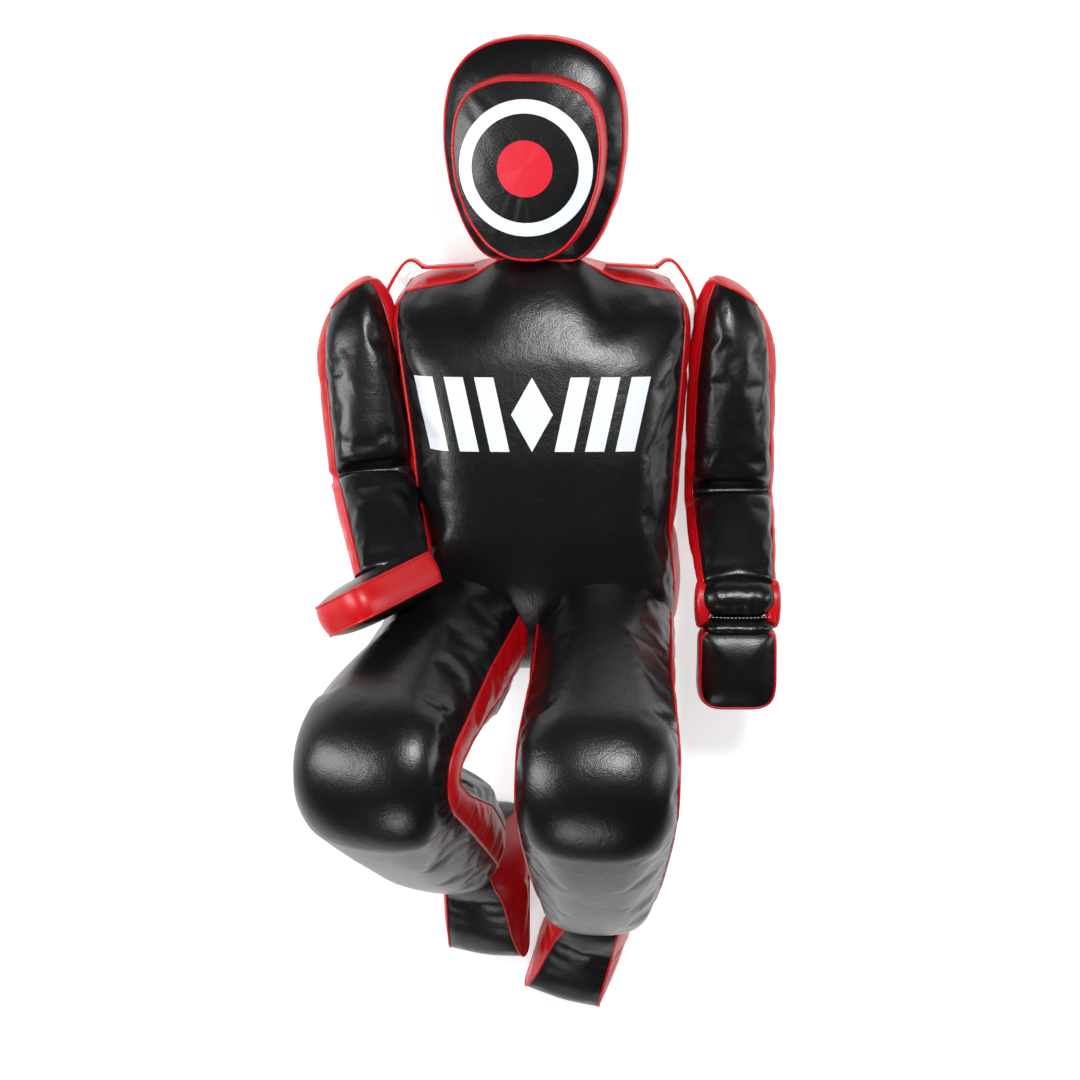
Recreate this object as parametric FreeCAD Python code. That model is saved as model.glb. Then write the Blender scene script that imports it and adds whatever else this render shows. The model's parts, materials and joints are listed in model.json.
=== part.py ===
"""Grappling dummy: stuffed vinyl limbs hung on a stuffed torso, lying on its back.

Frame: millimetres, +Z up from the floor to the dummy's front, +Y towards the
head, +X towards the dummy's left hand. The origin is the middle of the waist on
the flat of the back, which rests on the floor plane z = 0.

Each padded piece is a stuffing core inside a cover. The cover is a front and a
back panel with a strip, the gusset, sewn between them along both sides.
"""
import FreeCAD
import Part
import math
import os
from FreeCAD import Vector

# ---- driving dimensions -------------------------------------------------
COVER = 2.0             # thickness of the vinyl cover
CLEAR = 1.2             # gap in every soft joint
PRINT = 0.8             # thickness of a printed patch
SECTION_ROUND = 0.34    # corner radius as a share of a section's half thickness
SLIVER = 1500.0         # trimmings smaller than this, in cubic mm, are dropped
BIG = 1600.0            # side of the block that trims a shape at a plane

HIP_Y, HIP_Z, HIP_X = -95.0, 98.0, 87.0
# each round end is a cylinder along its hinge: radius and half length
HIP_BALL, HIP_HALF = 84.0, 76.0
KNEE_BALL, KNEE_HALF = 66.0, 84.0
ANKLE_BALL, ANKLE_HALF = 27.0, 30.0
ELBOW_BALL, ELBOW_HALF = 42.0, 50.0
WRIST_BALL, WRIST_HALF = 23.0, 44.0
NECK_BALL, NECK_HALF = 34.0, 62.0

# limb joints at rest: right limbs have x < 0
SHOULDER = {"right": Vector(-239, 318, 84), "left": Vector(248, 318, 80)}
ELBOW = {"right": Vector(-215, 82, 112), "left": Vector(250, 52, 74)}
WRIST = {"right": Vector(-197, -26, 226), "left": Vector(252, -48, 182)}
HAND_LENGTH = 160.0
HAND_DIR = {"right": Vector(-0.61, -0.16, 0.775), "left": Vector(0.0, -1.0, 0.05)}
HAND_ACROSS = {"right": Vector(0.66, 0.45, 0.60), "left": Vector(1, 0, 0)}
HIP = {"right": Vector(-HIP_X, HIP_Y, HIP_Z), "left": Vector(HIP_X, HIP_Y, HIP_Z)}
KNEE = {"right": Vector(-194, -216, 410), "left": Vector(68, -232, 406)}
ANKLE = {"right": Vector(-93, -447, 106), "left": Vector(78, -528, 94)}
FOOT_ACROSS = {"right": Vector(0.955, 0, 0.297), "left": Vector(0.955, -0.297, 0)}
FOOT_TOE = {"right": Vector(0, -1, 0), "left": Vector(-0.297, -0.955, 0)}
NECK = Vector(0, 322, 82)
NECK_THICK = 84.0
NECK_SPREAD = 86        # the opening in the torso that the neck nods in
HEAD_PITCH, HEAD_YAW = 6.0, -9.0
HEAD_START = 46.0       # from the neck joint to the chin end of the head

# (distance from the joint as a share of the length, half width, half thickness)
THIGH = [(0.0, 79, 77), (0.35, 84, 80), (0.75, 92, 84), (1.0, 92, 82)]
SHIN = [(0.0, 92, 82), (0.3, 90, 78), (0.62, 84, 70), (0.82, 74, 58), (0.94, 48, 40),
        (1.0, 36, 29)]
UPPER_ARM = [(-0.06, 42, 34), (0.04, 49, 44), (0.3, 55, 50), (1.0, 55, 46)]
BODY_SIDE = -160.0      # the right arm lies flat against the body at this x
FOREARM = [(0.0, 54, 46), (0.55, 52, 42), (1.0, 48, 30)]
HAND = [(0.0, 48, 26), (0.2, 50, 29), (0.8, 50, 27), (1.0, 42, 21)]
LIMB_SEAM, TORSO_SEAM = 0.5, 0.42       # seam height as a share of the half thickness
FOOT_CORNER, FOOT_PANEL_HALF = 12.0, 37.0
# the foot's levels above and below the ankle: (height, heel, toe, half width)
FOOT = [(-88, -62, 152, 57), (-56, -62, 150, 55), (-34, -60, 116, 50), (8, -46, 32, 38)]
BACK_TRIM = 1.0         # cut off the torso's back to leave one true plane
CHEST_THICK = 198.0
# (y, right edge x, left edge x, thickness) up the torso; the back is flat
TORSO = [(-150, -160, 166, 176), (-20, -150, 170, 190), (60, -152, 173, CHEST_THICK),
         (120, -157, 176, CHEST_THICK), (240, -170, 184, CHEST_THICK),
         (318, -184, 188, 160), (344, -176, 178, 122)]
# half outline of the head and of the face pad, from the chin end to the crown
HEAD_OUTLINE = [(0, 66), (38, 86), (85, 104), (140, 112), (185, 111), (222, 103),
                (248, 84), (264, 56), (271, 22)]
PAD_OUTLINE = [(3, 26), (18, 52), (50, 72), (95, 87), (140, 91), (178, 86), (205, 66),
               (219, 30)]
HEAD_THICK = 150.0
HEAD_ROUND = [(0, -16), (24, 0), (-24, 0), (0, -14)]    # (height from a face, growth)
HOOD_SEAM = 30.0        # from the hood's faces to its seams
PAD_DEPTH = 45.0
PAD_SEAM = 5.0          # from the pad's faces to its seams
PAD_TAPER = [(0.1, 0), (20, -3), (PAD_DEPTH, -10)]      # (height, growth) of the pad
PAD_RISE = 7.0          # the pad's base starts this far up the head
TARGET_UP = 122.0       # target centre, up the head from the chin end
RING_OUTER, RING_INNER, DOT_RADIUS = 82.0, 65.5, 34.0

# chest print: a diamond between leaning bars
EMBLEM_X, EMBLEM_Y, EMBLEM_HEIGHT = -10.0, 176.0, 92.0
DIAMOND_HALF, EMBLEM_START = 26.0, 28.0
EMBLEM_PITCH, EMBLEM_BAR, EMBLEM_LEAN = 38.0, 24.0, 20.0

STRAP_WIDTH, STRAP_THICK = 30.0, 4.0
STRAP_START = 84.0      # x of the sewn length's inner end
STRAP_FOLD = {"right": -158.0, "left": 160.0}
STRAP_TOP = 350.0
STRAP_FLAT = 24.0       # from the fold to where the tab turns down
ARM_INNER = {"right": -187.0, "left": 194.0}            # x of the tab's outer end
TAB_TOP, TAB_END, TAB_THICK = 330.0, 318.0, 3.0

# the angle on each side of a piece's own line that it keeps at a joint
HIP_KEEP = {"torso_front": 52, "torso_back": 88, "thigh_front": 44, "thigh_back": 86}
KNEE_KEEP = {"front": 88, "back": 21}
ANKLE_KEEP = {"front": 60, "back": 32}
ELBOW_KEEP = {"front": 44, "back": 88}
WRIST_KEEP = {"front": 44, "back": 58}
NECK_KEEP = 58
FOOT_KEEP = 84


def unit(vector):
    return Vector(vector).normalize()


def square_to(vector, along):
    """The part of a vector that is square to a unit vector, at length one."""
    return unit(vector - along * vector.dot(along))


class Seat:
    """A piece's own frame: its joint, the line it runs along, and its front."""

    def __init__(self, origin, along, across):
        self.origin = Vector(origin)
        self.along = unit(along)
        self.across = square_to(Vector(across), self.along)
        self.front = self.along.cross(self.across)

    def point(self, x, run, z):
        return self.origin + self.across * x + self.along * run + self.front * z

    def place(self, shape):
        """Move a shape drawn with x across, -y along and z to the front."""
        moved = shape.copy()
        a, b, c, o = self.across, self.along * -1, self.front, self.origin
        matrix = FreeCAD.Matrix(a.x, b.x, c.x, o.x, a.y, b.y, c.y, o.y,
                                a.z, b.z, c.z, o.z, 0, 0, 0, 1)
        moved.transformShape(matrix)
        return moved


def keep_side(shape, point, normal):
    """The part of a shape on the side of a plane that the normal points to."""
    block = Part.makeBox(BIG, BIG, BIG, Vector(-BIG / 2, -BIG / 2, -BIG))
    turn = FreeCAD.Rotation(Vector(0, 0, 1), unit(normal))
    block.Placement = FreeCAD.Placement(point, turn)
    return shape.cut(block)


def keep_sector(shape, point, axis, along, front_angle, back_angle):
    """Trim a shape to a sector about a hinge; the front is along x axis."""
    along = square_to(along, unit(axis))
    front = along.cross(unit(axis))
    for side, angle in ((front, front_angle), (front * -1, back_angle)):
        turn = math.radians(angle)
        shape = keep_side(shape, point, along * math.sin(turn) - side * math.cos(turn))
    return shape


def ball(point, axis, radius, half_length):
    """A round end: a cylinder along a hinge axis."""
    start = point - unit(axis) * half_length
    return Part.makeCylinder(radius, 2 * half_length, start, unit(axis))


def rounded_section(half_width, half_thick, run, shift_x, shift_z):
    """A closed wire, a rectangle with cut corners, square to a piece's line."""
    corner = SECTION_ROUND * half_thick
    w, t = half_width, half_thick
    ring = [(w, t - corner), (w - corner, t), (corner - w, t), (-w, t - corner),
            (-w, corner - t), (corner - w, -t), (w - corner, -t), (w, corner - t)]
    points = [Vector(x + shift_x, -run, z + shift_z) for x, z in ring]
    return Part.makePolygon(points + points[:1])


def tube(stations, inset=0.0):
    """A ruled solid through (run, half width, half thick, shift x, shift z)."""
    rows = [list(row) + [0.0] * (5 - len(row)) for row in stations]
    rows[0][0] += inset
    rows[-1][0] -= inset
    wires = [rounded_section(w - inset, t - inset, run, dx, dz)
             for run, w, t, dx, dz in rows]
    return Part.makeLoft(wires, True, True)


def seam_slab(stations, share):
    """All space between the two seam heights, at a share of the half thickness."""
    rows = [list(row) + [0.0] * (5 - len(row)) for row in stations]
    rows[0][0] -= 50
    rows[-1][0] += 50
    upper = [Vector(-BIG / 4, -run, dz + share * t) for run, w, t, dx, dz in rows]
    lower = [Vector(-BIG / 4, -run, dz - share * t) for run, w, t, dx, dz in rows]
    ring = upper + lower[::-1]
    face = Part.Face(Part.makePolygon(ring + ring[:1]))
    return face.extrude(Vector(BIG / 2, 0, 0))


def padded(stations, seam_share, floor=None):
    """A stuffed piece's core, its front and back panels and its gusset strip."""
    core = tube(stations, COVER)
    block = tube(stations)
    if floor is not None:
        core = keep_side(core, Vector(0, 0, floor + COVER), Vector(0, 0, 1))
        block = keep_side(block, Vector(0, 0, floor), Vector(0, 0, 1))
    cover = block.cut(core)
    slab = seam_slab(stations, seam_share)
    gusset = cover.common(slab)
    panels = cover.cut(slab)
    return {"fill": core, "panels": panels, "gussets": gusset}


def scaled(stations, length):
    return [(share * length,) + tuple(rest) for share, *rest in stations]


def limb(start, end, across, stations, seam_share):
    """A padded piece between two joints, and its seat."""
    seat = Seat(start, end - start, across)
    length = (end - start).Length
    pieces = padded(scaled(stations, length), seam_share)
    return {name: seat.place(shape) for name, shape in pieces.items()}, seat


def whole(shape):
    """A shape without the slivers that trimming leaves."""
    solids = [solid for solid in shape.Solids if solid.Volume > SLIVER]
    return solids[0] if len(solids) == 1 else Part.makeCompound(solids)


def trim(pieces, point, axis, along, front_angle, back_angle):
    return {name: keep_sector(shape, point, axis, along, front_angle, back_angle)
            for name, shape in pieces.items()}


def round_end(pieces, point, axis, radius, half_length):
    """Give the core a round end and clear the cover away from it."""
    knob = ball(point, axis, radius, half_length)
    cleared = {name: shape.cut(knob) for name, shape in pieces.items() if name != "fill"}
    cleared["fill"] = pieces["fill"].fuse(knob).removeSplitter()
    return cleared


def hollow_end(pieces, point, axis, radius):
    """Hollow the start of a piece so that it clears its neighbour's round end."""
    knob = ball(point, axis, radius + CLEAR, BIG / 4)
    return {name: shape.cut(knob) for name, shape in pieces.items()}


def leg(side):
    hip, knee, ankle = HIP[side], KNEE[side], ANKLE[side]
    knee_axis = unit((knee - hip).cross(ankle - knee))
    hip_axis = Vector(1, 0, 0)
    thigh, seat = limb(hip, knee, knee_axis, THIGH, LIMB_SEAM)
    thigh = trim(thigh, hip, hip_axis, seat.along, HIP_KEEP["thigh_front"],
                 HIP_KEEP["thigh_back"])
    thigh = trim(thigh, knee, knee_axis, seat.along * -1, KNEE_KEEP["back"],
                 KNEE_KEEP["front"])
    thigh = round_end(thigh, hip, hip_axis, HIP_BALL, HIP_HALF)
    thigh = round_end(thigh, knee, knee_axis, KNEE_BALL, KNEE_HALF)

    shin, seat = limb(knee, ankle, knee_axis, SHIN, LIMB_SEAM)
    foot_axis = square_to(FOOT_ACROSS[side], FOOT_TOE[side])
    shin = trim(shin, knee, knee_axis, seat.along, KNEE_KEEP["front"], KNEE_KEEP["back"])
    shin = trim(shin, ankle, foot_axis, seat.along * -1, ANKLE_KEEP["back"],
                ANKLE_KEEP["front"])
    shin = hollow_end(shin, knee, knee_axis, KNEE_BALL)
    shin = round_end(shin, ankle, foot_axis, ANKLE_BALL, ANKLE_HALF)

    foot = foot_pieces(ankle, foot_axis, FOOT_TOE[side])
    return {"thigh": thigh, "shin": shin, "foot": foot}


def foot_pieces(ankle, across, toe):
    """A wedge foot: levels of a loft from the sole up to the ankle."""
    sole_way = Vector(toe).cross(across) * -1
    if sole_way.z > 0:
        sole_way = sole_way * -1
    seat = Seat(ankle, sole_way, across)

    def block(inset):
        wires = []
        last = len(FOOT) - 1
        for index, (height, heel, toe_run, half) in enumerate(FOOT):
            level = height + (inset if index == 0 else 0) - (inset if index == last else 0)
            back, front, half = heel + inset, toe_run - inset, half - inset
            near, far = back + FOOT_CORNER, front - FOOT_CORNER
            side = half - FOOT_CORNER
            ring = [(half, near), (half, far), (side, front), (-side, front), (-half, far),
                    (-half, near), (-side, back), (side, back)]
            points = [Vector(x, level, z) for x, z in ring]
            wires.append(Part.makePolygon(points + points[:1]))
        return Part.makeLoft(wires, True, True)

    core = block(COVER)
    cover = block(0.0).cut(core)
    corner = Vector(-FOOT_PANEL_HALF, -BIG / 2, -BIG / 2)
    middle = Part.makeBox(2 * FOOT_PANEL_HALF, BIG, BIG, corner)
    pieces = {"fill": core, "panels": cover.common(middle), "gussets": cover.cut(middle)}
    placed = {name: seat.place(shape) for name, shape in pieces.items()}
    placed = hollow_end(placed, ankle, across, ANKLE_BALL)
    return trim(placed, ankle, across, seat.along, FOOT_KEEP, FOOT_KEEP)


def arm(side):
    shoulder, elbow, wrist = SHOULDER[side], ELBOW[side], WRIST[side]
    elbow_axis = unit((wrist - elbow).cross(elbow - shoulder))
    upper, seat = limb(shoulder, elbow, elbow_axis, UPPER_ARM, LIMB_SEAM)
    upper = trim(upper, elbow, elbow_axis, seat.along * -1, ELBOW_KEEP["back"],
                 ELBOW_KEEP["front"])
    upper = round_end(upper, elbow, elbow_axis, ELBOW_BALL, ELBOW_HALF)

    hand_seat = Seat(wrist, HAND_DIR[side], HAND_ACROSS[side])
    wrist_axis = hand_seat.across
    fore, seat = limb(elbow, wrist, wrist_axis, FOREARM, LIMB_SEAM)
    fore = trim(fore, elbow, elbow_axis, seat.along, ELBOW_KEEP["front"], ELBOW_KEEP["back"])
    fore = hollow_end(fore, elbow, elbow_axis, ELBOW_BALL)
    fore = trim(fore, wrist, wrist_axis, seat.along * -1, WRIST_KEEP["back"],
                WRIST_KEEP["front"])
    fore = round_end(fore, wrist, wrist_axis, WRIST_BALL, WRIST_HALF)
    if side == "right":
        body_side = Vector(BODY_SIDE, 0, 0)
        fore = {name: keep_side(shape, body_side, Vector(-1, 0, 0))
                for name, shape in fore.items()}

    pieces = padded(scaled(HAND, HAND_LENGTH), LIMB_SEAM)
    hand = {name: hand_seat.place(shape) for name, shape in pieces.items()}
    hand = trim(hand, wrist, wrist_axis, hand_seat.along, WRIST_KEEP["front"],
                WRIST_KEEP["back"])
    hand = hollow_end(hand, wrist, wrist_axis, WRIST_BALL)
    return {"upper_arm": upper, "forearm": fore, "hand": hand}


def torso():
    stations = [(-y, (left - right) / 2, (thick + BACK_TRIM) / 2, (left + right) / 2,
                 (thick - BACK_TRIM) / 2) for y, right, left, thick in TORSO]
    pieces = padded(stations[::-1], TORSO_SEAM, floor=0.0)
    groove = ball(Vector(0, HIP_Y, HIP_Z), Vector(1, 0, 0), HIP_BALL + CLEAR, BIG / 4)
    socket_half = NECK_HALF + 2 * CLEAR
    opening = Part.makeBox(2 * socket_half, BIG, BIG, NECK - Vector(socket_half, 0, BIG / 2))
    opening = keep_sector(opening, NECK, Vector(1, 0, 0), Vector(0, 1, 0), NECK_SPREAD,
                          NECK_SPREAD)
    socket = ball(NECK, Vector(1, 0, 0), NECK_BALL + CLEAR, socket_half).fuse(opening)
    pieces = trim(pieces, Vector(0, HIP_Y, HIP_Z), Vector(1, 0, 0), Vector(0, 1, 0),
                  HIP_KEEP["torso_back"], HIP_KEEP["torso_front"])
    pieces = {name: shape.cut(groove).cut(socket) for name, shape in pieces.items()}
    cover = pieces.pop("panels")
    middle = Vector(0, 0, CHEST_THICK / 2)
    pieces["front_panel"] = keep_side(cover, middle, Vector(0, 0, 1))
    pieces["back_panel"] = keep_side(cover, middle, Vector(0, 0, -1))
    return pieces


def chest_emblem():
    """A printed band: a diamond between leaning bars, three on each side."""
    half = EMBLEM_HEIGHT / 2
    outlines = [[(-DIAMOND_HALF, 0), (0, half), (DIAMOND_HALF, 0), (0, -half)]]
    for side in (-1, 1):
        for number in range(3):
            near = side * (EMBLEM_START + number * EMBLEM_PITCH)
            far = near + side * EMBLEM_BAR
            lean = side * EMBLEM_LEAN
            outlines.append([(near + lean, half), (far + lean, half), (far, -half),
                             (near, -half)])
    solids = []
    for outline in outlines:
        points = [Vector(EMBLEM_X + x, EMBLEM_Y + y, CHEST_THICK) for x, y in outline]
        face = Part.Face(Part.makePolygon(points + points[:1]))
        solids.append(face.extrude(Vector(0, 0, PRINT)))
    return Part.makeCompound(solids)


def shoulder_straps():
    """Each strap: a length sewn to the shoulder, and a free tab to the arm."""
    bases, tabs = [], {}
    for side, sign in (("right", -1), ("left", 1)):
        fold = STRAP_FOLD[side]
        z = SHOULDER[side].z - STRAP_WIDTH / 2
        low, high = sorted((sign * STRAP_START, fold - sign * CLEAR))
        under = STRAP_TOP - STRAP_THICK
        bases.append(Part.makeBox(high - low, STRAP_THICK, STRAP_WIDTH,
                                  Vector(low, TORSO[-1][0] + CLEAR / 2, z)))
        start, corner = fold + sign * CLEAR, fold + sign * STRAP_FLAT
        outer = ARM_INNER[side]
        inner = outer - sign * TAB_THICK
        path = [(start, STRAP_TOP), (corner, STRAP_TOP), (outer, TAB_TOP), (outer, TAB_END),
                (inner, TAB_END), (inner, TAB_TOP - TAB_THICK),
                (corner - sign * STRAP_THICK / 2, under), (start, under)]
        points = [Vector(x, y, z) for x, y in path]
        face = Part.Face(Part.makePolygon(points + points[:1]))
        tabs[side] = face.extrude(Vector(0, 0, STRAP_WIDTH))
    return Part.makeCompound(bases), tabs


def head_seat():
    """The head's frame: its line from chin to crown, nodded and turned."""
    pitch, yaw = math.radians(HEAD_PITCH), math.radians(HEAD_YAW)
    up_line = Vector(0, math.cos(pitch), math.sin(pitch))
    level = Vector(1, 0, 0)
    front = level.cross(up_line)
    across = level * math.cos(yaw) - front * math.sin(yaw)
    return Seat(NECK, up_line * -1, across)


def outline_wire(outline, grow, shift, level):
    """A closed wire from a half outline, grown outwards and set at a height."""
    right = [Vector(half + grow, shift + run, level) for run, half in outline]
    left = [Vector(-half - grow, shift + run, level) for run, half in outline]
    points = right + left[::-1]
    return Part.makePolygon(points + points[:1])


def shell_pieces(levels, outline, shift, seams):
    """A head-shaped block's core and its cover, cut at the seam heights."""
    def block(inset):
        wires = []
        for index, (level, grow) in enumerate(levels):
            end = {0: inset, len(levels) - 1: -inset}.get(index, 0.0)
            wires.append(outline_wire(outline, grow - inset, shift, level + end))
        return Part.makeLoft(wires, True, True)
    core = block(COVER)
    cover = block(0.0).cut(core)
    low, high = seams
    front = keep_side(cover, Vector(0, 0, high), Vector(0, 0, 1))
    back = keep_side(cover, Vector(0, 0, low), Vector(0, 0, -1))
    strip = keep_side(keep_side(cover, Vector(0, 0, low), Vector(0, 0, 1)),
                      Vector(0, 0, high), Vector(0, 0, -1))
    return core, front, back, strip


def disc(radius, inner, level, thick):
    centre = Vector(0, HEAD_START + TARGET_UP, level)
    shape = Part.makeCylinder(radius, thick, centre)
    if inner:
        shape = shape.cut(Part.makeCylinder(inner, thick, centre))
    return shape


def head():
    half = HEAD_THICK / 2
    faces = (-half, -half, half, half)
    levels = [(face + height, growth) for face, (height, growth) in zip(faces, HEAD_ROUND)]
    fill, front, back, strip = shell_pieces(levels, HEAD_OUTLINE, HEAD_START,
                                            (-half + HOOD_SEAM, half - HOOD_SEAM))
    top = half + PAD_DEPTH
    pad_levels = [(half + height, growth) for height, growth in PAD_TAPER]
    pad = shell_pieces(pad_levels, PAD_OUTLINE, HEAD_START + PAD_RISE,
                       (half + PAD_SEAM, top - PAD_SEAM))
    pieces = {"head_fill": fill, "hood_front_panel": front, "hood_back_panel": back,
              "hood_gusset": strip, "face_fill": pad[0], "face_panel": pad[1],
              "face_gusset": pad[3].fuse(pad[2]).removeSplitter(),
              "target_ring": disc(RING_OUTER, RING_INNER, top, PRINT),
              "target_dot": disc(DOT_RADIUS, 0, top, PRINT)}
    seat = head_seat()
    return {name: seat.place(shape) for name, shape in pieces.items()}


def neck():
    """A short stuffed neck with a round lower end in the torso's socket."""
    pitch = math.radians(HEAD_PITCH)
    line = Vector(0, math.cos(pitch), math.sin(pitch))
    seat = Seat(NECK, line, Vector(-1, 0, 0))
    ends = (0, HEAD_START - CLEAR)
    pieces = padded([(run, NECK_HALF, NECK_THICK / 2) for run in ends], LIMB_SEAM)
    pieces = {name: seat.place(shape) for name, shape in pieces.items()}
    axis = Vector(1, 0, 0)
    pieces = trim(pieces, NECK, axis, line, NECK_KEEP, NECK_KEEP)
    return round_end(pieces, NECK, axis, NECK_BALL, NECK_HALF - COVER)


def dummy():
    """Every piece by its name, placed in the dummy's frame."""
    pieces = {"torso_" + name: shape for name, shape in torso().items()}
    pieces["chest_emblem"] = chest_emblem()
    bases, tabs = shoulder_straps()
    pieces["shoulder_strap_bases"] = bases
    pieces.update({"neck_" + name: shape for name, shape in neck().items()})
    pieces.update(head())
    for side in ("right", "left"):
        pieces[side + "_shoulder_strap"] = tabs[side]
        for group in (arm(side), leg(side)):
            for segment, parts in group.items():
                for name, shape in parts.items():
                    pieces["%s_%s_%s" % (side, segment, name)] = whole(shape)
    return pieces


def main():
    os.makedirs("parts", exist_ok=True)
    pieces = dummy()
    for name, shape in pieces.items():
        shape.exportStep("parts/%s.step" % name)
    print(len(pieces), "pieces")


main()
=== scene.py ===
"""Looks of a stuffed vinyl grappling dummy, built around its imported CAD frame."""
import json
import math

import bpy
import numpy as np
from bpy.props import FloatProperty, FloatVectorProperty, PointerProperty
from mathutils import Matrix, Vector, noise
from mathutils.bvhtree import BVHTree


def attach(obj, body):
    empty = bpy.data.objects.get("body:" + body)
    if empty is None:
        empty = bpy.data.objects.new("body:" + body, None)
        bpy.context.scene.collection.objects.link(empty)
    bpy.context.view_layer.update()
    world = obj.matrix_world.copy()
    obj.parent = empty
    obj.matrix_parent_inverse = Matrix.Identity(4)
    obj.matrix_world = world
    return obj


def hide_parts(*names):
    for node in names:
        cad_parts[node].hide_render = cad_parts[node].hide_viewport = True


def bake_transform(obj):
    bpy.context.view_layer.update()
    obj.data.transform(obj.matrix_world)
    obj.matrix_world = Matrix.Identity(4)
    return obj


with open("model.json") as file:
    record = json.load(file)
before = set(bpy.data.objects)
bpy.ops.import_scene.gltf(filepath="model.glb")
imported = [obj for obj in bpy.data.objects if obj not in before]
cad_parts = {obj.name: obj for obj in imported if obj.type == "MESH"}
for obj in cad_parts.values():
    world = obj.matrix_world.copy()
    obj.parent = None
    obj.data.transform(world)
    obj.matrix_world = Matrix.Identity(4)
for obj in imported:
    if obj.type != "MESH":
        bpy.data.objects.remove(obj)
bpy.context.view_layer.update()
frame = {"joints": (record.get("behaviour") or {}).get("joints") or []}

bl_info = {
    "name": "Grappling Dummy",
    "version": (1, 0, 0),
    "blender": (4, 5, 0),
    "location": "View3D > Sidebar > Dummy",
    "description": "Builds the cover, prints and straps of a stuffed grappling dummy",
    "category": "Add Mesh",
}

JOINTS = {joint["name"]: joint for joint in frame["joints"]}
SIDES = {"right": -1.0, "left": 1.0}
PAIR_SLOTS = ("black_vinyl", "red_vinyl")
PANEL_CELLS = 40        # cells across a front or back panel
GUSSET_CELLS = 10       # cells across a gusset strip
RING_STEP = 0.0065      # spacing of the rings along a piece
CORD_END = 0.35         # how thin a cord gets at its ends
PRINT_LIFT = 0.0006     # how far the ink stands off the cover
BLACK, RED = 0, 1


def joint_point(name):
    return Vector(JOINTS[name]["pos_m"])


def joint_axis(name):
    return Vector(JOINTS[name]["axis"]).normalized()


# ---- settings ------------------------------------------------------------
class DummyCover(bpy.types.PropertyGroup):
    """Sizes and colours of the cover."""
    welt: FloatProperty(name="Welt", description="Radius of the raised seam", default=0.0019,
                        unit="LENGTH")
    pressure: FloatProperty(name="Stuffing pressure", description="Push of the stuffing",
                            default=3.0)
    slack: FloatProperty(name="Gusset slack", description="Spare cloth in the gussets",
                         default=0.06)
    black: FloatVectorProperty(name="Black", description="Colour of the panels",
                               subtype="COLOR", default=(0.0035, 0.0035, 0.0042))
    red: FloatVectorProperty(name="Red", description="Colour of the gussets",
                             subtype="COLOR", default=(0.50, 0.0030, 0.0065))
    white: FloatVectorProperty(name="White", description="Colour of the prints",
                               subtype="COLOR", default=(0.80, 0.84, 0.90))


class DummyStage(bpy.types.PropertyGroup):
    """Where the camera stands and aims, and its lens."""
    distance: FloatProperty(name="Camera distance", description="From the aim point",
                            default=2.6, unit="LENGTH")
    tilt: FloatProperty(name="Camera tilt", description="Lean of the view to the head",
                        default=math.radians(12), subtype="ANGLE")
    lens: FloatProperty(name="Lens", description="Focal length in mm", default=66.67)
    height: FloatProperty(name="Aim height", description="Height that the camera aims at",
                          default=0.12, unit="LENGTH")


# ---- materials -----------------------------------------------------------
class Socket:
    """A node socket that takes part in Python arithmetic."""

    def __init__(self, tree, link):
        self.tree = tree
        self.link = link

    def maths(self, operation, *values):
        return self.tree.add("ShaderNodeMath", {"operation": operation},
                             dict(enumerate(values)))

    def __add__(self, other):
        return self.maths("ADD", self, other)

    def __sub__(self, other):
        return self.maths("SUBTRACT", self, other)

    def __rsub__(self, other):
        return self.maths("SUBTRACT", other, self)

    def __mul__(self, other):
        return self.maths("MULTIPLY", self, other)

    __radd__ = __add__
    __rmul__ = __mul__


class Tree:
    """A material's node tree, built by adding nodes with values or links."""

    def __init__(self, name):
        self.material = bpy.data.materials.new(name)
        self.material.use_nodes = True
        self.nodes = self.material.node_tree.nodes
        self.links = self.material.node_tree.links
        self.shader = self.nodes["Principled BSDF"]
        self.place = self.add("ShaderNodeTexCoord", output=3)

    def add(self, kind, settings=None, sockets=None, output=0):
        node = self.nodes.new(kind)
        for key, value in (settings or {}).items():
            setattr(node, key, value)
        for key, value in (sockets or {}).items():
            self.feed(node.inputs[key], value)
        return Socket(self, node.outputs[output])

    def feed(self, socket, value):
        if isinstance(value, Socket):
            self.links.new(value.link, socket)
        else:
            socket.default_value = value

    def shade(self, **sockets):
        for key, value in sockets.items():
            self.feed(self.shader.inputs[key.replace("_", " ")], value)

    def noise(self, scale, detail=2.0, roughness=0.5, distortion=0.0):
        return self.add("ShaderNodeTexNoise", {}, {"Vector": self.place, "Scale": scale,
                        "Detail": detail, "Roughness": roughness, "Distortion": distortion})

    def grain(self):
        """The small rounded cells of a leather grain."""
        return self.add("ShaderNodeTexVoronoi", {"feature": "SMOOTH_F1"},
                        {"Vector": self.place, "Scale": 620.0, "Smoothness": 0.6})

    def mix(self, factor, first, second):
        return self.add("ShaderNodeMix", {"data_type": "RGBA"},
                        {0: factor, 6: first, 7: second}, output=2)

    def bump(self, height, distance, strength, normal=None):
        sockets = {"Height": height, "Distance": distance, "Strength": strength}
        if normal is not None:
            sockets["Normal"] = normal
        return self.add("ShaderNodeBump", {}, sockets)


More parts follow.
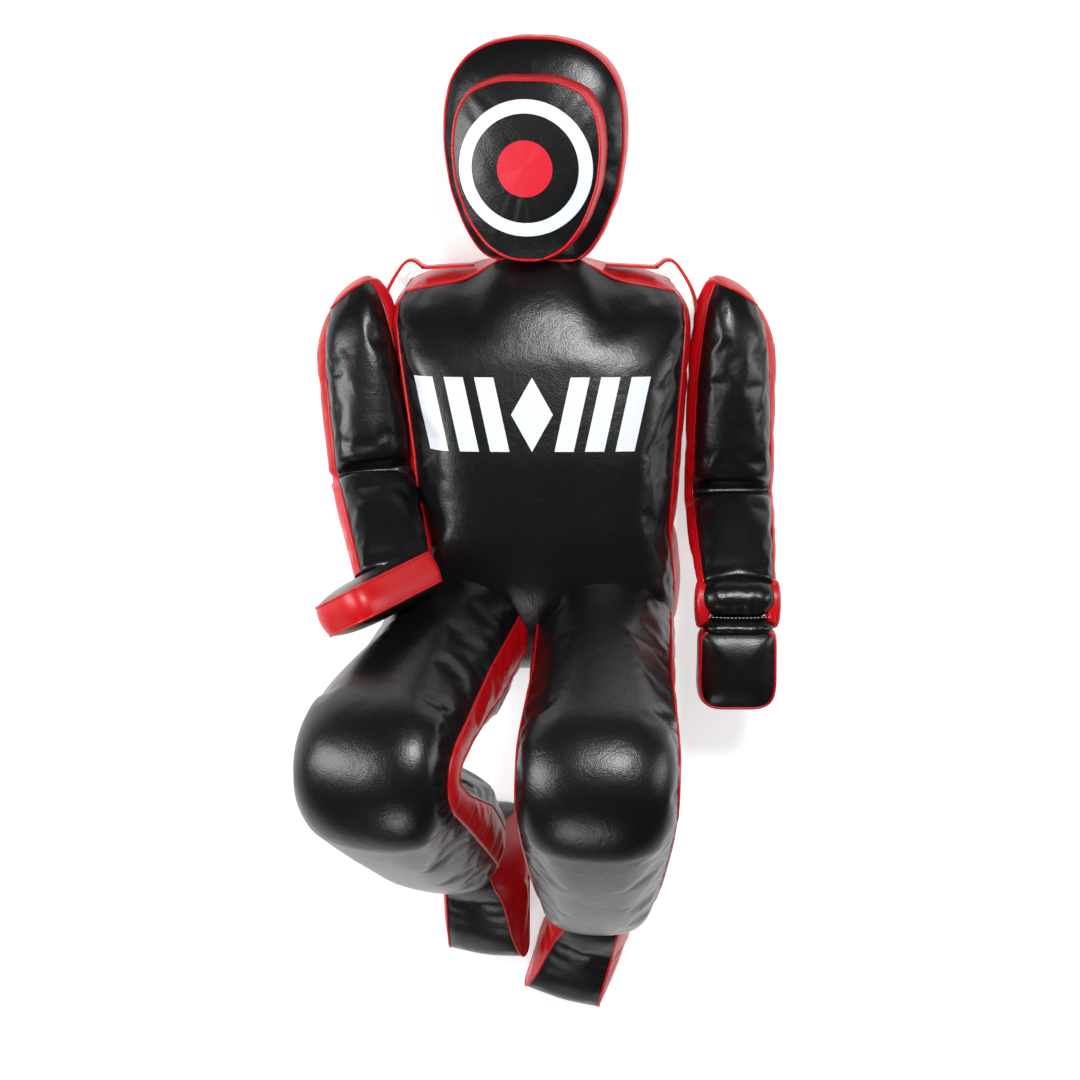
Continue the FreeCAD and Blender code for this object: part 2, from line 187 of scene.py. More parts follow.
def vinyl(name, colour, roughness):
    """Coated cloth: fine leather grain, soft drape marks and dulled patches."""
    tree = Tree(name)
    pores = tree.noise(1300.0, detail=3.0)
    drape = tree.noise(26.0, detail=3.0, roughness=0.55, distortion=0.4)
    patches = tree.noise(7.0, detail=4.0, roughness=0.6)
    scuffs = tree.noise(90.0, detail=5.0, roughness=0.7)
    fine = tree.bump(tree.grain() + pores * 0.6, 0.00016, 0.8)
    soft = tree.bump(drape, 0.0016, 0.55, normal=fine)
    lighter = tuple(min(1.0, channel * 1.3 + 0.002) for channel in colour)
    tint = tree.mix(patches * 0.8, (*colour, 1), (*lighter, 1))
    tree.shade(Base_Color=tint, Normal=soft, Specular_IOR_Level=0.46,
               Roughness=roughness - 0.07 + patches * 0.10 + scuffs * 0.028)
    return tree.material


def printed(name, colour, roughness):
    """Screen ink on the vinyl: the grain shows through a little."""
    tree = Tree(name)
    patches = tree.noise(30.0, detail=4.0, roughness=0.65)
    darker = tuple(channel * 0.88 for channel in colour)
    tint = tree.mix(patches, (*colour, 1), (*darker, 1))
    tree.shade(Base_Color=tint, Normal=tree.bump(tree.grain(), 0.00009, 0.7),
               Roughness=roughness + patches * 0.12)
    return tree.material


def thread(name, colour):
    """Twisted sewing thread."""
    tree = Tree(name)
    twist = tree.noise(2500.0)
    tint = tree.mix(twist, (*colour, 1), tuple(c * 0.75 for c in colour) + (1,))
    tree.shade(Base_Color=tint, Roughness=0.62 + twist * 0.1,
               Normal=tree.bump(twist, 0.0002, 0.7))
    return tree.material


def floor_paint(name):
    """A pale matt floor that glows a little."""
    tree = Tree(name)
    mottle = tree.noise(3.0, detail=3.0)
    tint = tree.mix(mottle, (0.86, 0.86, 0.865, 1), (0.90, 0.90, 0.905, 1))
    tree.shade(Base_Color=tint, Roughness=0.7 + mottle * 0.1, Emission_Color=(1, 1, 1, 1),
               Emission_Strength=0.55)
    return tree.material


MATERIALS = {}


def make_materials(cover):
    black, red, white = tuple(cover.black), tuple(cover.red), tuple(cover.white)
    MATERIALS["black_vinyl"] = vinyl("black_vinyl", black, 0.29)
    MATERIALS["red_vinyl"] = vinyl("red_vinyl", red, 0.34)
    MATERIALS["white_print"] = printed("white_print", white, 0.38)
    MATERIALS["red_print"] = printed("red_print", (0.72, 0.010, 0.030), 0.32)
    MATERIALS["white_thread"] = thread("white_thread", (0.75, 0.72, 0.70))


# ---- mesh helpers --------------------------------------------------------
def new_object(name, points, faces, material_names, face_materials=None, smooth=True):
    mesh = bpy.data.meshes.new(name)
    mesh.from_pydata([tuple(p) for p in points], [], faces)
    for material_name in material_names:
        mesh.materials.append(MATERIALS[material_name])
    if face_materials is not None:
        mesh.polygons.foreach_set("material_index", face_materials)
    if smooth:
        mesh.polygons.foreach_set("use_smooth", [True] * len(mesh.polygons))
    mesh.update()
    obj = bpy.data.objects.new(name, mesh)
    bpy.context.scene.collection.objects.link(obj)
    return obj


def coords(obj):
    flat = np.zeros(len(obj.data.vertices) * 3)
    obj.data.vertices.foreach_get("co", flat)
    return flat.reshape(-1, 3)


def set_coords(obj, points):
    obj.data.vertices.foreach_set("co", np.asarray(points).ravel())
    obj.data.update()


def apply_modifiers(obj):
    """Replace an object's mesh by what its modifiers make of it."""
    depsgraph = bpy.context.evaluated_depsgraph_get()
    result = bpy.data.meshes.new_from_object(obj.evaluated_get(depsgraph))
    old = obj.data
    obj.modifiers.clear()
    obj.data = result
    result.name = obj.name
    bpy.data.meshes.remove(old)


def subdivide(obj):
    modifier = obj.modifiers.new("Finer", "SUBSURF")
    modifier.levels = 1
    modifier.render_levels = 1
    apply_modifiers(obj)


def join(objects):
    """Join several objects into the first one and return it."""
    with bpy.context.temp_override(active_object=objects[0], object=objects[0],
                                   selected_editable_objects=objects):
        bpy.ops.object.join()
    return objects[0]


def smooth_line(points, rounds):
    line = np.array(points, float)
    for _ in range(rounds):
        line[1:-1] = line[1:-1] * 0.5 + (line[:-2] + line[2:]) * 0.25
    return line


def cords(name, lines, radius, material_name, sides=8):
    """Round cords with narrowed ends, one along each polyline."""
    points, faces = [], []
    for line in lines:
        line = np.array(line, float)
        tangents = np.gradient(line, axis=0)
        tangents /= np.linalg.norm(tangents, axis=1)[:, None] + 1e-12
        side = np.cross(tangents[0], (0.31, 0.52, 0.79))
        start = len(points)
        for index, (centre, tangent) in enumerate(zip(line, tangents)):
            side = side - tangent * side.dot(tangent)
            side /= np.linalg.norm(side) + 1e-12
            other = np.cross(tangent, side)
            size = radius * (CORD_END if index in (0, len(line) - 1) else 1.0)
            for k in range(sides):
                turn = 2 * math.pi * k / sides
                points.append(centre + (side * math.cos(turn) + other * math.sin(turn)) * size)
        for index in range(len(line) - 1):
            for k in range(sides):
                a = start + index * sides + k
                b = start + index * sides + (k + 1) % sides
                faces.append((a, b, b + sides, a + sides))
        last = start + (len(line) - 1) * sides
        faces.append(tuple(start + k for k in reversed(range(sides))))
        faces.append(tuple(last + k for k in range(sides)))
    return new_object(name, points, faces, [material_name])


def along_line(line, spacing):
    """Points and directions spaced evenly along a polyline."""
    line = np.array(line, float)
    steps = np.linalg.norm(np.diff(line, axis=0), axis=1)
    reach = np.concatenate([[0], np.cumsum(steps)])
    places = np.arange(spacing / 2, reach[-1], spacing)
    spots = np.stack([np.interp(places, reach, line[:, k]) for k in range(3)], axis=1)
    ahead = np.stack([np.interp(np.minimum(places + 1e-3, reach[-1]), reach, line[:, k])
                      for k in range(3)], axis=1)
    ways = ahead - spots
    ways /= np.linalg.norm(ways, axis=1)[:, None] + 1e-12
    return spots, ways


def stitch_row(name, line, material_name, length=0.0032, gap=0.0016, radius=0.00042):
    """A row of short thread stitches along a line on the surface."""
    spots, ways = along_line(line, length + gap)
    lines = []
    for spot, way in zip(spots, ways):
        lines.append([spot - way * length / 2, spot - way * length / 4,
                      spot + way * length / 4, spot + way * length / 2])
    return cords(name, lines, radius, material_name, sides=6)


# ---- padded pieces -------------------------------------------------------
def section(plus, minus, top, bottom, seam_front, seam_back, side_plus, side_minus, boxy=0.8):
    """One ring of a cover, as x and z, from the front seam on the +x side."""
    middle, half = (plus + minus) / 2, (plus - minus) / 2
    turn = np.linspace(0, math.pi, PANEL_CELLS + 1)
    swell = np.abs(np.sin(turn)) ** boxy
    sweep = np.sign(np.cos(turn)) * np.abs(np.cos(turn)) ** boxy
    front = np.stack([middle + half * sweep, seam_front + (top - seam_front) * swell], 1)
    back = np.stack([middle - half * sweep, seam_back + (bottom - seam_back) * swell], 1)
    share = np.linspace(0, 1, GUSSET_CELLS + 1)
    bulge = np.sin(math.pi * share) ** 0.8
    heights = seam_front + (seam_back - seam_front) * share
    minus_strip = np.stack([minus - side_minus * bulge, heights], 1)
    plus_strip = np.stack([plus + side_plus * bulge, heights[::-1]], 1)
    return np.concatenate([front[:-1], minus_strip[:-1], back[:-1], plus_strip[:-1]])


RING = 2 * (PANEL_CELLS + GUSSET_CELLS)
CORNERS = (0, PANEL_CELLS, PANEL_CELLS + GUSSET_CELLS, 2 * PANEL_CELLS + GUSSET_CELLS)


def table_rows(table, places, rounds=6):
    """Smoothly read a station table (place, value, value...) at many places."""
    table = np.array(table, float)
    rows = np.stack([np.interp(places, table[:, 0], table[:, k])
                     for k in range(1, table.shape[1])], 1)
    for _ in range(rounds):
        rows[1:-1] = rows[1:-1] * 0.5 + (rows[:-2] + rows[2:]) * 0.25
    return rows


def places_along(start, end):
    return np.linspace(start, end, max(4, int(round((end - start) / RING_STEP)) + 1))


class Cover:
    """Rings of a padded piece joined into one mesh, with its seams."""

    def __init__(self, name):
        self.name = name
        self.rings = []
        self.points = []
        self.faces = []
        self.kinds = []
        self.seams = []
        self.pins = set()
        self.red_from = None

    def ring(self, origin, across, front, outline):
        origin, across, front = (np.array(v) for v in (origin, across, front))
        self.rings.append(origin + outline[:, :1] * across + outline[:, 1:2] * front)

    def close(self, start_kind, end_kind, bulges):
        """Make the faces; each end gets a strip from the front panel to the back."""
        count = len(self.rings)
        self.points = [tuple(p) for ring in self.rings for p in ring]
        for j in range(count - 1):
            for i in range(RING):
                back = CORNERS[2] <= i < CORNERS[3]
                kind = BLACK if i < PANEL_CELLS or back else RED
                if self.red_from is not None and j >= self.red_from:
                    kind = RED
                a, b = j * RING + i, j * RING + (i + 1) % RING
                self.faces.append((a, b, b + RING, a + RING))
                self.kinds.append(kind)
        for corner in CORNERS:
            self.seams.append([j * RING + corner for j in range(count)])
        for end, kind, bulge in ((0, start_kind, bulges[0]), (count - 1, end_kind, bulges[1])):
            self.cap(end, kind, bulge)

    def cap(self, end, kind, bulge):
        base = end * RING
        rows = [[base + i for i in range(PANEL_CELLS + 1)]]
        front_row = np.array([self.points[i] for i in rows[0]])
        back_ids = [base + CORNERS[3] - i for i in range(PANEL_CELLS + 1)]
        back_row = np.array([self.points[i] for i in back_ids])
        inner = self.rings[1] if end == 0 else self.rings[-2]
        outward = self.rings[end].mean(0) - inner.mean(0)
        outward /= np.linalg.norm(outward)
        shape = np.sin(np.linspace(0, math.pi, PANEL_CELLS + 1)) ** 0.5
        for k in range(1, GUSSET_CELLS):
            share = k / GUSSET_CELLS
            line = front_row * (1 - share) + back_row * share
            line = line + outward * (bulge * math.sin(math.pi * share) * shape[:, None])
            row = [base + RING - k]
            for i in range(1, PANEL_CELLS):
                row.append(len(self.points))
                self.points.append(tuple(line[i]))
            row.append(base + PANEL_CELLS + k)
            rows.append(row)
        rows.append(back_ids)
        for k in range(GUSSET_CELLS):
            for i in range(PANEL_CELLS):
                quad = (rows[k][i], rows[k][i + 1], rows[k + 1][i + 1], rows[k + 1][i])
                self.faces.append(quad[::-1] if end == 0 else quad)
                self.kinds.append(kind)
        if kind == RED:
            self.seams += [rows[0], rows[-1]]


CLOTH_FRAMES = 14
CLOTH = {"quality": 5, "mass": 0.3, "tension_stiffness": 15, "compression_stiffness": 15,
         "shear_stiffness": 8, "bending_stiffness": 1.2, "tension_damping": 8,
         "compression_damping": 8, "shear_damping": 8, "air_damping": 2, "use_pressure": True,
         "vertex_group_mass": "held", "pin_stiffness": 5, "vertex_group_shrink": "loose"}


def simulate(obj, pins, red_points, settings, panel_slack, limit):
    """Let the stuffing push the cover out between its sewn seams."""
    before = coords(obj)
    held = obj.vertex_groups.new(name="held")
    held.add(sorted(pins), 1.0, "REPLACE")
    loose = obj.vertex_groups.new(name="loose")
    loose.add(sorted(red_points), 1.0, "REPLACE")
    modifier = obj.modifiers.new("Stuffing", "CLOTH")
    for key, value in CLOTH.items():
        setattr(modifier.settings, key, value)
    modifier.settings.uniform_pressure_force = settings.pressure
    modifier.settings.shrink_min = -panel_slack
    modifier.settings.shrink_max = -settings.slack
    modifier.settings.effector_weights.gravity = 0
    modifier.collision_settings.use_collision = False
    modifier.point_cache.frame_start = 1
    modifier.point_cache.frame_end = CLOTH_FRAMES
    scene = bpy.context.scene
    for number in range(1, CLOTH_FRAMES + 1):
        scene.frame_set(number)
    apply_modifiers(obj)
    scene.frame_set(1)
    after = coords(obj)
    shift = after - before
    size = np.maximum(np.linalg.norm(shift, axis=1), 1e-9)
    capped = limit * np.tanh(size / limit)
    set_coords(obj, before + shift * (capped / size)[:, None])
    obj.vertex_groups.clear()


def split_cover(obj, cover, welt):
    """Part a finished cover into black panels and red gussets with raised seams."""
    points = coords(obj)
    kinds = np.zeros(len(obj.data.polygons), int)
    obj.data.polygons.foreach_get("material_index", kinds)
    polygons = [tuple(p.vertices) for p in obj.data.polygons]
    seams = [smooth_line(points[line], 2) for line in cover.seams]
    made = {}
    for kind, suffix, slot in zip((BLACK, RED), ("panels", "gussets"), PAIR_SLOTS):
        chosen = [p for p, k in zip(polygons, kinds) if k == kind]
        used = sorted({i for p in chosen for i in p})
        renumber = {old: new for new, old in enumerate(used)}
        part = new_object("%s_cover_%s" % (cover.name, suffix), points[used],
                          [tuple(renumber[i] for i in p) for p in chosen], [slot])
        subdivide(part)
        made[suffix] = part
    welts = cords(cover.name + "_welts", seams, welt, "red_vinyl")
    made["gussets"] = join([made["gussets"], welts])
    bpy.data.objects.remove(obj)
    return made["panels"], made["gussets"]


def finish_cover(cover, settings, limit, panel_slack=0.018):
    """Build, stuff and split a cover; returns its panels and its gussets."""
    obj = new_object(cover.name, cover.points, cover.faces, PAIR_SLOTS, cover.kinds)
    pins = {i for line in cover.seams for i in line} | cover.pins
    red_points = {i for face, kind in zip(cover.faces, cover.kinds) if kind == RED
                  for i in face}
    simulate(obj, pins, red_points, settings, panel_slack, limit)
    return split_cover(obj, cover, settings.welt)


def declare(obj, nodes=(), body=None):
    if body is not None:
        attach(obj, body)
    if nodes:
        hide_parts(*nodes)


def declare_pair(pieces, body, panel_nodes, gusset_node):
    for piece, slot, nodes in zip(pieces, PAIR_SLOTS, (panel_nodes, (gusset_node,))):
        declare(piece, nodes, body)


# ---- limbs ---------------------------------------------------------------
# rows of a limb: place from its first joint as a share of its length, seam x on
# the + and - side, front, back, gusset bulge on the + and - side, roll in degrees
THIGH_TABLE = [(-0.14, 0.066, -0.066, 0.064, 0.060, 0.004, 0.004, 0),
               (-0.04, 0.080, -0.080, 0.076, 0.072, 0.005, 0.005, 0),
               (0.15, 0.085, -0.085, 0.080, 0.075, 0.005, 0.005, 0),
               (0.5, 0.086, -0.086, 0.083, 0.077, 0.004, 0.004, 0),
               (0.85, 0.095, -0.095, 0.087, 0.076, 0.003, 0.003, 0),
               (1.0, 0.096, -0.096, 0.087, 0.072, 0.003, 0.003, 0)]
SHIN_TABLE = [(0.0, 0.096, -0.096, 0.087, 0.072, 0.003, 0.003, 0),
              (0.25, 0.093, -0.093, 0.083, 0.072, 0.003, 0.003, 0),
              (0.55, 0.084, -0.084, 0.077, 0.068, 0.003, 0.003, 0),
              (0.74, 0.075, -0.075, 0.068, 0.060, 0.003, 0.003, 0),
              (0.85, 0.058, -0.058, 0.050, 0.045, 0.003, 0.003, 0),
              (0.92, 0.040, -0.040, 0.034, 0.032, 0.002, 0.002, 0),
              (1.04, 0.032, -0.032, 0.026, 0.026, 0.002, 0.002, 0)]
RIGHT_UPPER = [(-0.07, 0.026, -0.028, 0.030, 0.030, 0.008, 0.012, 16),
               (0.0, 0.037, -0.034, 0.041, 0.038, 0.010, 0.018, 16),
               (0.12, 0.044, -0.038, 0.049, 0.046, 0.011, 0.020, 14),
               (0.4, 0.050, -0.044, 0.053, 0.050, 0.010, 0.014, 6),
               (0.75, 0.051, -0.048, 0.052, 0.050, 0.010, 0.009, -4),
               (1.0, 0.051, -0.050, 0.047, 0.048, 0.011, 0.007, -10)]
RIGHT_FORE = [(0.0, 0.051, -0.050, 0.047, 0.048, 0.011, 0.007, -10),
              (0.5, 0.049, -0.049, 0.040, 0.044, 0.010, 0.006, -14),
              (1.0, 0.046, -0.046, 0.028, 0.030, 0.006, 0.005, -16)]
LEFT_UPPER = [(-0.07, 0.028, -0.026, 0.030, 0.030, 0.012, 0.008, -12),
              (0.0, 0.036, -0.036, 0.041, 0.038, 0.017, 0.010, -12),
              (0.12, 0.040, -0.042, 0.049, 0.046, 0.018, 0.011, -10),
              (0.4, 0.046, -0.048, 0.053, 0.050, 0.012, 0.010, -4),
              (0.75, 0.050, -0.050, 0.052, 0.050, 0.007, 0.010, 0),
              (1.0, 0.051, -0.050, 0.047, 0.048, 0.006, 0.010, 0)]
LEFT_FORE = [(0.0, 0.051, -0.050, 0.047, 0.048, 0.006, 0.010, 0),
             (0.5, 0.049, -0.049, 0.040, 0.044, 0.006, 0.010, 0),
             (1.0, 0.044, -0.044, 0.026, 0.028, 0.005, 0.006, 0)]
SEAM_SHARE = 0.36       # height of a seam as a share of the half thickness
FOLD_CREASE = 0.006     # what a fold keeps clear of its pivot
KNEE_FOLD, KNEE_GAP = 0.040, 0.026
KNEE_HELD, KNEE_REACH = 0.050, 0.055
ELBOW_FOLD, ELBOW_GAP = 0.030, 0.006
ELBOW_HELD, ELBOW_REACH = 0.045, 0.022
ANKLE_BAND = 0.22       # the red band's share of the shin


class Bend:
    """The fold of a limb: where its cover pivots, and the frames each side."""

    def __init__(self, start, middle, end, axis, depth, gap, fold_back):
        self.first = (middle - start).normalized()
        self.second = (end - middle).normalized()
        self.axis = axis
        self.front_first = self.first.cross(axis).normalized()
        self.front_second = self.second.cross(axis).normalized()
        self.outward = (self.first - self.second).normalized()
        self.flex = self.first.angle(self.second)
        self.pivot = middle - self.outward * depth
        self.offset = depth * math.cos(self.flex / 2) * (1 if fold_back else -1)
        self.cut = depth * math.sin(self.flex / 2)
        self.middle = middle
        self.gap = gap
        self.fold_back = fold_back

    def front_at(self, share):
        turn = self.flex * share
        sign = 1.0 if self.front_second.dot(self.first) > 0 else -1.0
        return self.front_first * math.cos(turn) + self.first * (sign * math.sin(turn))

    def room(self, distance):
        """How thick the fold side may be at a distance from the joint."""
        half = (math.pi - self.flex) / 2
        free = distance * math.tan(half) - self.gap / math.cos(half)
        return max(abs(self.offset) - FOLD_CREASE, free)


def limb_ring(cover, bend, origin, front, row, room):
    plus, minus, top, bottom, side_plus, side_minus, roll = row
    if bend.fold_back:
        bottom = min(bottom, room)
    else:
        top = min(top, room)
    turn = math.radians(roll)
    across = bend.axis * math.cos(turn) + front * math.sin(turn)
    turned = front * math.cos(turn) - bend.axis * math.sin(turn)
    outline = section(plus, minus, top, -bottom, top * SEAM_SHARE, -bottom * SEAM_SHARE,
                      side_plus, side_minus)
    cover.ring(origin, across, turned, outline)


def limb_rings(cover, bend, start, end, first_table, second_table):
    """Rings down a limb's first piece, round its bend and down its second."""
    first_length = (bend.middle - start).length
    second_length = (end - bend.middle).length
    places = places_along(first_table[0][0] * first_length, first_length - bend.cut)
    for place, row in zip(places, table_rows(first_table, places / first_length)):
        limb_ring(cover, bend, start + bend.first * place, bend.front_first, row,
                  bend.room(first_length - place))
    arc = bend.flex * (abs(bend.offset) + first_table[-1][3 if bend.fold_back else 4])
    steps = max(2, int(arc / (RING_STEP * 1.3)))
    for number in range(1, steps):
        front = bend.front_at(number / steps)
        limb_ring(cover, bend, bend.pivot + front * bend.offset, front,
                  first_table[-1][1:], bend.room(0))
    places = places_along(bend.cut, second_length)
    for place, row in zip(places, table_rows(second_table, places / second_length)):
        limb_ring(cover, bend, bend.middle + bend.second * place, bend.front_second, row,
                  bend.room(place))


def hold_fold(cover, bend, depth, reach):
    """Pin the cloth in the fold, and both ends, where it can't swell."""
    points = np.array(cover.points)
    middle = np.array(bend.middle - bend.outward * depth)
    across = np.array(bend.axis)
    offset = points - middle
    offset -= np.outer(offset @ across, across)
    near = np.linalg.norm(offset, axis=1) < reach
    cover.pins |= set(np.nonzero(near)[0].tolist())
    cover.pins |= set(range(RING)) | set(range(len(cover.rings) * RING - RING, len(points)))


def declare_limb(side, first, second, pieces):
    """Bake a limb's cover in place and hide the CAD parts that it stands for."""
    for piece, slot, part in zip(pieces, PAIR_SLOTS, ("panels", "gussets")):
        nodes = ["%s_%s_%s" % (side, segment, part) for segment in (first, second)]
        if part == "panels":
            nodes += ["%s_%s_fill" % (side, first), "%s_%s_fill" % (side, second)]
        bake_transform(piece)
        declare(piece, nodes)


def build_leg(side, settings):
    hip, knee, ankle = (joint_point("%s_%s" % (side, name)) for name in ("hip", "knee", "ankle"))
    bend = Bend(hip, knee, ankle, joint_axis(side + "_knee"), KNEE_FOLD, KNEE_GAP, True)
    cover = Cover(side + "_leg")
    limb_rings(cover, bend, hip, ankle, THIGH_TABLE, SHIN_TABLE)
    cover.red_from = len(cover.rings) - int(ANKLE_BAND * (ankle - knee).length / RING_STEP)
    cover.close(BLACK, RED, (0.012, 0.006))
    hold_fold(cover, bend, KNEE_HELD, KNEE_REACH)
    pieces = finish_cover(cover, settings, limit=0.012)
    declare_limb(side, "thigh", "shin", pieces)


SLOPE_DROP, SLOPE_REACH, SLOPE_HALF = 0.062, 0.13, 0.055


def slope_shoulder(cover, bend, shoulder, sign):
    """Let the shoulder end fall away from the body."""
    along, outer = np.array(bend.first), np.array(bend.axis) * sign
    for ring in cover.rings:
        place = (ring.mean(0) - np.array(shoulder)) @ along
        weight = 1 - min(1.0, max(0.0, place + 0.02) / SLOPE_REACH)
        share = np.clip(((ring - np.array(shoulder)) @ outer) / SLOPE_HALF * 0.5 + 0.5, 0, 1)
        ring += np.outer(share ** 2.2 * SLOPE_DROP * weight, along)


def build_arm(side, settings):
    elbow, shoulder = joint_point(side + "_elbow"), joint_point(side + "_arm_raise")
    wrist = joint_point(side + "_wrist") + HAND_SHIFT[side] / 2
    axis = joint_axis(side + "_elbow")
    bend = Bend(shoulder, elbow, wrist, axis, ELBOW_FOLD, ELBOW_GAP, False)
    tables = (RIGHT_UPPER, RIGHT_FORE) if side == "right" else (LEFT_UPPER, LEFT_FORE)
    cover = Cover(side + "_arm")
    limb_rings(cover, bend, shoulder, wrist, *tables)
    slope_shoulder(cover, bend, shoulder, SIDES[side])
    cover.close(RED, BLACK, (0.010, 0.006))
    hold_fold(cover, bend, ELBOW_HELD, ELBOW_REACH)
    pieces = finish_cover(cover, settings, limit=0.007, panel_slack=0.006)
    declare_limb(side, "upper_arm", "forearm", pieces)


class OBJECT_OT_dummy_legs(bpy.types.Operator):
    """Build both legs from hip to ankle."""
    bl_idname = "object.dummy_legs"
    bl_label = "Legs"

    def execute(self, context):
        for side in SIDES:
            build_leg(side, context.scene.dummy_cover)
        return {"FINISHED"}


class OBJECT_OT_dummy_arms(bpy.types.Operator):
    """Build both arms from shoulder to wrist."""
    bl_idname = "object.dummy_arms"
    bl_label = "Arms"

    def execute(self, context):
        for side in SIDES:
            build_arm(side, context.scene.dummy_cover)
        return {"FINISHED"}


# ---- torso, neck and chest print ----------------------------------------
# rows: y, + side x, - side x, front, front seam z, back seam z, gusset bulge
TORSO_TABLE = [(0.347, 0.170, -0.170, 0.120, 0.112, 0.030, 0.004),
               (0.335, 0.180, -0.178, 0.140, 0.122, 0.026, 0.006),
               (0.30, 0.184, -0.181, 0.164, 0.132, 0.022, 0.007),
               (0.24, 0.181, -0.176, 0.184, 0.140, 0.022, 0.008),
               (0.12, 0.172, -0.160, 0.195, 0.146, 0.022, 0.008),
               (0.02, 0.166, -0.152, 0.196, 0.146, 0.022, 0.008),
               (-0.06, 0.174, -0.156, 0.190, 0.140, 0.022, 0.008),
               (-0.11, 0.172, -0.156, 0.170, 0.120, 0.024, 0.007),
               (-0.15, 0.146, -0.138, 0.136, 0.098, 0.032, 0.005),
               (-0.175, 0.120, -0.112, 0.105, 0.084, 0.040, 0.003)]
TOP_FROM, TOP_REACH = 0.22, 0.127       # where the torso's top starts to change, and over how much
FRONT_DROP, SIDE_DROP = 0.009, 0.020
FLAT_BACK = 0.004       # points lower than this stay on the flat back
COLLAR_HALF, COLLAR_RISE, COLLAR_SWELL = 0.074, 0.032, 0.012


def shape_top(ring, y):
    """Lower the torso's top at the front and the sides, and raise a collar round the neck."""
    x, z = ring[:, 0].copy(), ring[:, 2].copy()
    weight = max(0.0, (y - TOP_FROM) / TOP_REACH) ** 1.5
    collar = np.exp(-(x / COLLAR_HALF) ** 4) * np.clip(z / 0.11, 0, 1) * weight
    ring[:, 1] -= weight * (FRONT_DROP * (z / 0.12) + SIDE_DROP * np.abs(x / 0.18) ** 3)
    ring[:, 1] += COLLAR_RISE * collar
    ring[:, 2] += COLLAR_SWELL * collar


def build_torso(settings):
    cover = Cover("torso")
    places = -places_along(-TORSO_TABLE[0][0], -TORSO_TABLE[-1][0])
    table = TORSO_TABLE[::-1]
    for y, row in zip(places, table_rows(table, places, rounds=3)):
        plus, minus, top, seam_front, seam_back, side = row
        outline = section(plus, minus, top, 0.0, seam_front, seam_back, side, side, boxy=0.62)
        cover.ring((0, y, 0), (1, 0, 0), (0, 0, 1), outline)
        shape_top(cover.rings[-1], y)
    cover.close(RED, BLACK, (0.007, 0.008))
    cover.pins |= {i for i, point in enumerate(cover.points) if point[2] < FLAT_BACK}
    pieces = finish_cover(cover, settings, limit=0.010)
    declare_pair(pieces, "torso", ("torso_front_panel", "torso_back_panel", "torso_fill"),
                 "torso_gussets")
    return pieces[0]


def lay_on(target, grid, way):
    """Drop the points of a flat patch along a direction onto a surface."""
    tree = BVHTree.FromPolygons([tuple(v.co) for v in target.data.vertices],
                                [tuple(p.vertices) for p in target.data.polygons])
    laid = []
    for point in grid:
        start = Vector(point) - way * 0.2
        hit = tree.ray_cast(start, way)[0]
        if hit is None:
            raise RuntimeError("a print misses its surface")
        laid.append(hit - way * PRINT_LIFT)
    return laid


def patch(corners, cells_u, cells_v):
    """Points and faces of a four-sided flat patch."""
    a, b, c, d = (np.array(corner, float) for corner in corners)
    points = []
    for v in np.linspace(0, 1, cells_v + 1):
        for u in np.linspace(0, 1, cells_u + 1):
            points.append((a * (1 - u) + b * u) * (1 - v) + (d * (1 - u) + c * u) * v)
    faces = []
    for v in range(cells_v):
        for u in range(cells_u):
            k = v * (cells_u + 1) + u
            faces.append((k, k + 1, k + cells_u + 2, k + cells_u + 1))
    return points, faces


EMBLEM_CENTRE = (-0.010, 0.176)
EMBLEM_HALF = 0.046
EMBLEM_BARS = [0.028, 0.066, 0.104]
EMBLEM_BAR, EMBLEM_LEAN, DIAMOND = 0.024, 0.020, 0.026


def build_emblem(chest):
    """A diamond between leaning bars, printed on the chest."""
    x0, y0 = EMBLEM_CENTRE
    shapes = [[(-DIAMOND, 0), (0, -EMBLEM_HALF), (DIAMOND, 0), (0, EMBLEM_HALF)]]
    for sign in (-1, 1):
        for start in EMBLEM_BARS:
            near, far, lean = sign * start, sign * (start + EMBLEM_BAR), sign * EMBLEM_LEAN
            corners = [(near, -EMBLEM_HALF), (far, -EMBLEM_HALF), (far + lean, EMBLEM_HALF),
                       (near + lean, EMBLEM_HALF)]
            shapes.append(corners if sign > 0 else corners[::-1])
    points, faces = [], []
    for shape in shapes:
        corners = [(x0 + x, y0 + y, 0.25) for x, y in shape]
        new_points, new_faces = patch(corners, 12, 24)
        faces += [tuple(i + len(points) for i in face) for face in new_faces]
        points += new_points
    laid = lay_on(chest, points, Vector((0, 0, -1)))
    emblem = new_object("chest_emblem_print", laid, faces, ["white_print"])
    declare(emblem, ("chest_emblem",), "torso")


class OBJECT_OT_dummy_torso(bpy.types.Operator):
    """Build the torso and its chest print."""
    bl_idname = "object.dummy_torso"
    bl_label = "Torso"

    def execute(self, context):
        build_emblem(build_torso(context.scene.dummy_cover))
        return {"FINISHED"}


# ---- straps -------------------------------------------------------------
STRAP_WIDTH, STRAP_THICK, STRAP_EDGE = 0.030, 0.0040, 0.0007
THREAD_RADIUS = 0.0008
BASE_PATH = [(0.084, 0.351), (0.105, 0.350), (0.125, 0.349), (0.140, 0.348), (0.152, 0.348)]
THREAD_ENDS = [[(0.160, 0.3515, 0.031), (0.163, 0.346, 0.033), (0.168, 0.343, 0.033),
                (0.171, 0.337, 0.032)],
               [(0.159, 0.3505, 0.031), (0.159, 0.344, 0.034), (0.163, 0.340, 0.034)]]
TAB_PATH = [(0.148, 0.3485), (0.154, 0.351), (0.160, 0.3565), (0.167, 0.3575), (0.174, 0.352),
            (0.181, 0.342), (0.188, 0.331), (0.194, 0.319), (0.198, 0.306), (0.200, 0.292)]


